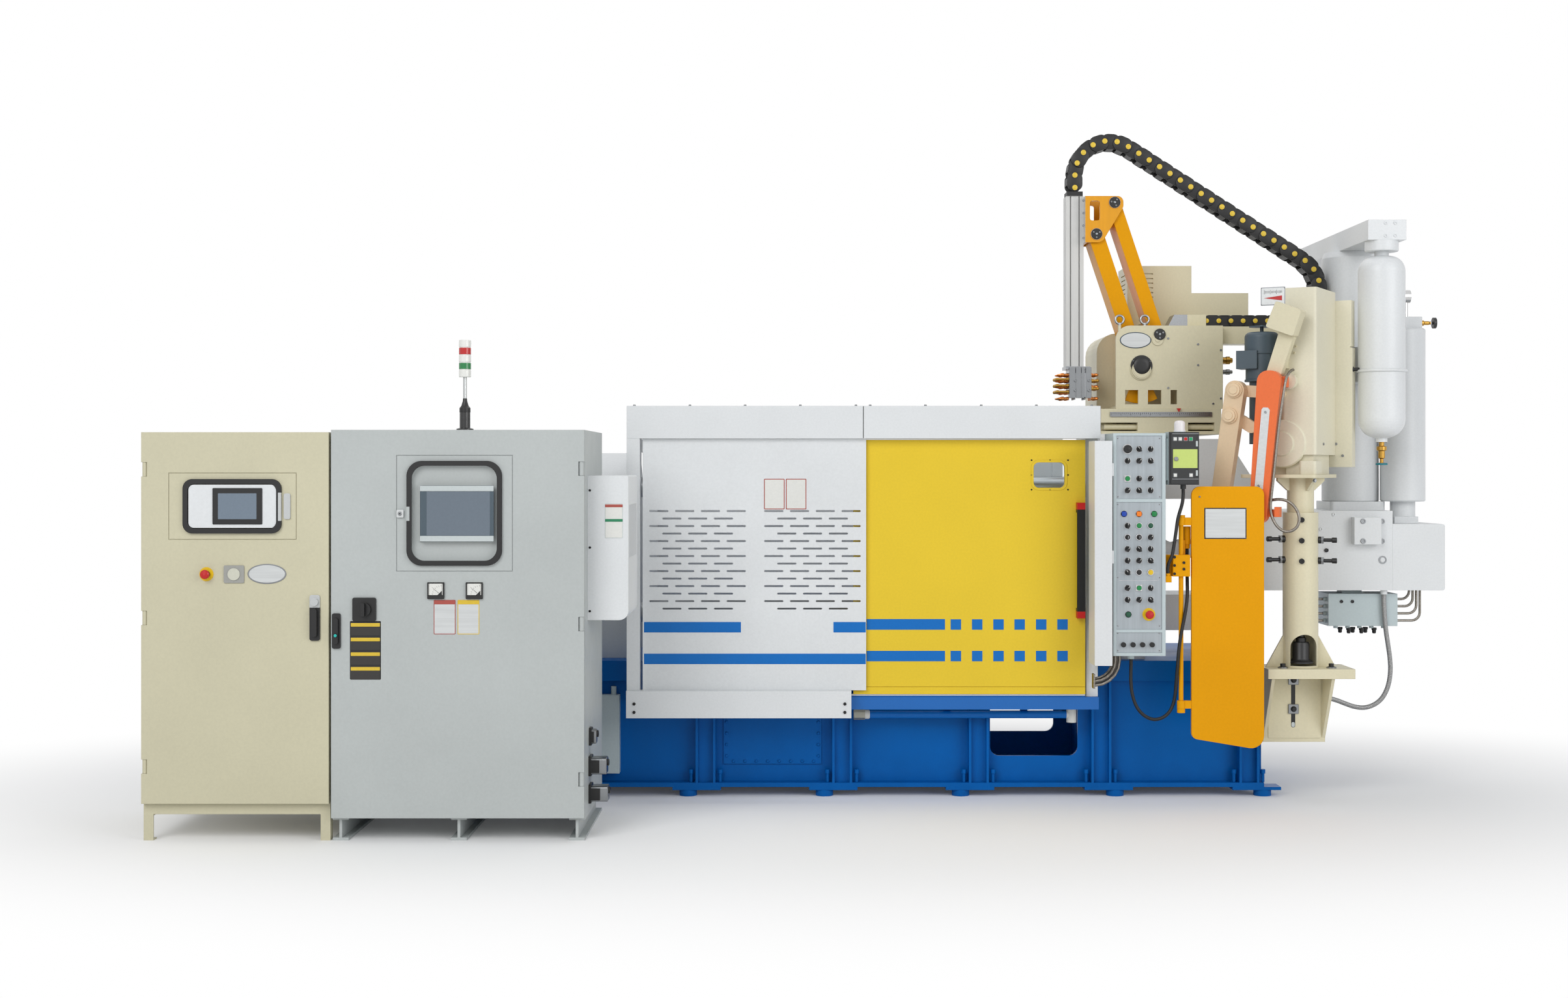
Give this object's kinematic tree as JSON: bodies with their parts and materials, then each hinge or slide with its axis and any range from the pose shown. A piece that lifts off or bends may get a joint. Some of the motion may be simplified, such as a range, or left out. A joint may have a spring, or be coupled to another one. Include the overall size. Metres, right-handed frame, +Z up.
{
  "type": "cold chamber die casting machine",
  "caption": "Cold chamber die casting machine on a welded base, with guard door, spray robot, ladler, loading gate and two control cabinets.",
  "frame": {"origin": "floor level under the middle of the whole layout's box", "axes": "+X along the machine from the cabinets to the injection side, +Y from the operator's side to the back, +Z up"},
  "size_m": [6.055, 2.456, 3.303],
  "materials": {
    "cream_paint": "semi-gloss cream powder coat",
    "grey_paint": "semi-gloss light grey powder coat",
    "white_paint": "semi-gloss white paint",
    "blue_paint": "gloss blue machine paint",
    "yellow_paint": "semi-gloss yellow paint",
    "gate_yellow": "gloss orange-yellow paint",
    "orange_paint": "semi-gloss orange paint",
    "robot_cream": "semi-gloss cream paint",
    "motor_slate": "semi-gloss slate paint",
    "steel": "ground steel",
    "feet_steel": "zinc plated steel",
    "chain_plastic": "black moulded plastic",
    "dark_plastic": "dark grey moulded plastic",
    "lamp_white": "clear white plastic",
    "black_rubber": "corrugated black rubber",
    "conduit_metal": "braided metal conduit",
    "panel_silver": "silver front plates",
    "box_grey": "semi-gloss grey paint"
  },
  "bodies": {
    "root": {"cream_plinth": "cream_paint", "cream_cabinet": "cream_paint", "grey_skids": "grey_paint", "grey_cabinet": "grey_paint", "air_conditioner": "white_paint", "signal_tower": "lamp_white", "machine_base": "blue_paint", "levelling_feet": "blue_paint", "closing_hood": "white_paint", "fixed_platen": "white_paint", "moving_platen": "white_paint", "tie_bars": "steel", "guard_frame": "white_paint", "top_guard_beams": "white_paint", "lower_guard_beam": "white_paint", "slotted_panel": "white_paint", "rear_guard": "white_paint", "control_box": "box_grey", "control_panels": "panel_silver", "control_shield": "white_paint", "pilot_box": "dark_plastic", "gate_rod": "gate_yellow", "c_frame": "white_paint", "injection_block": "white_paint", "injection_cover": "white_paint", "rear_accumulator": "white_paint", "front_bottle": "white_paint", "side_accumulator": "white_paint", "manifold_beam": "white_paint", "hydraulic_box": "box_grey", "pedestal_bracket": "robot_cream", "pedestal_column": "robot_cream", "ladler_plate": "robot_cream", "ladler_housing": "robot_cream", "ladler_motor": "motor_slate", "ladler_lever": "robot_cream", "ladler_arm": "orange_paint", "ladler_drive": "robot_cream", "sprayer_saddle": "robot_cream", "sprayer_housing": "robot_cream", "sprayer_rear_box": "robot_cream", "long_drag_chain": "chain_plastic", "short_drag_chain": "chain_plastic", "base_junction_box": "box_grey", "coolant_pipe": "blue_paint", "box_hose": "black_rubber", "pilot_hose": "black_rubber", "shot_hose": "black_rubber", "arm_conduit": "conduit_metal", "metal_conduits": "conduit_metal"},
    "cream_door_leaf": {"cream_door": "cream_paint", "cream_fittings": "dark_plastic"},
    "grey_door_leaf": {"grey_door": "grey_paint", "grey_fittings": "dark_plastic"},
    "front_door": {"sliding_door": "yellow_paint"},
    "gate_leaf": {"ladle_gate": "gate_yellow"},
    "spray_arm": {"spray_main_arm": "gate_yellow"},
    "spray_link": {"spray_link_arm": "gate_yellow"},
    "spray_tool": {"spray_column": "steel", "spray_head": "steel"}
  },
  "joints": [
    {"name": "cream_door_hinge", "type": "hinge", "parent": "root", "child": "cream_door_leaf", "pos_m": [-3.0035, -1.1815, 0.955], "axis": [0, 0, -1], "range_deg": [0, 110]},
    {"name": "grey_door_hinge", "type": "hinge", "parent": "root", "child": "grey_door_leaf", "pos_m": [-1.1385, -1.1815, 0.929], "axis": [0, 0, 1], "range_deg": [0, 110]},
    {"name": "front_door_slide", "type": "slide", "parent": "root", "child": "front_door", "axis": [-1, 0, 0], "range_m": [0, 0.95]},
    {"name": "gate_swing", "type": "hinge", "parent": "root", "child": "gate_leaf", "pos_m": [1.587, -0.38, 0.9], "axis": [0, 0, -1], "range_deg": [0, 90]},
    {"name": "spray_arm_swing", "type": "hinge", "parent": "root", "child": "spray_arm", "pos_m": [1.525, 0.42, 2.111], "axis": [0, -1, 0], "range_deg": [0, 70], "deforming": ["long_drag_chain"]},
    {"name": "spray_link_swing", "type": "hinge", "parent": "root", "child": "spray_link", "pos_m": [1.617, 0.42, 2.271], "axis": [0, -1, 0], "range_deg": [0, 70]},
    {"name": "spray_tool_level", "type": "hinge", "parent": "spray_arm", "child": "spray_tool", "pos_m": [1.302, 0.42, 2.782], "axis": [0, -1, 0], "range_deg": [-70, 0]}
  ],
  "couplings": [
    {"joint": "spray_link_swing", "follows": "spray_arm_swing", "ratio": 1},
    {"joint": "spray_tool_level", "follows": "spray_arm_swing", "ratio": -1}
  ]
}
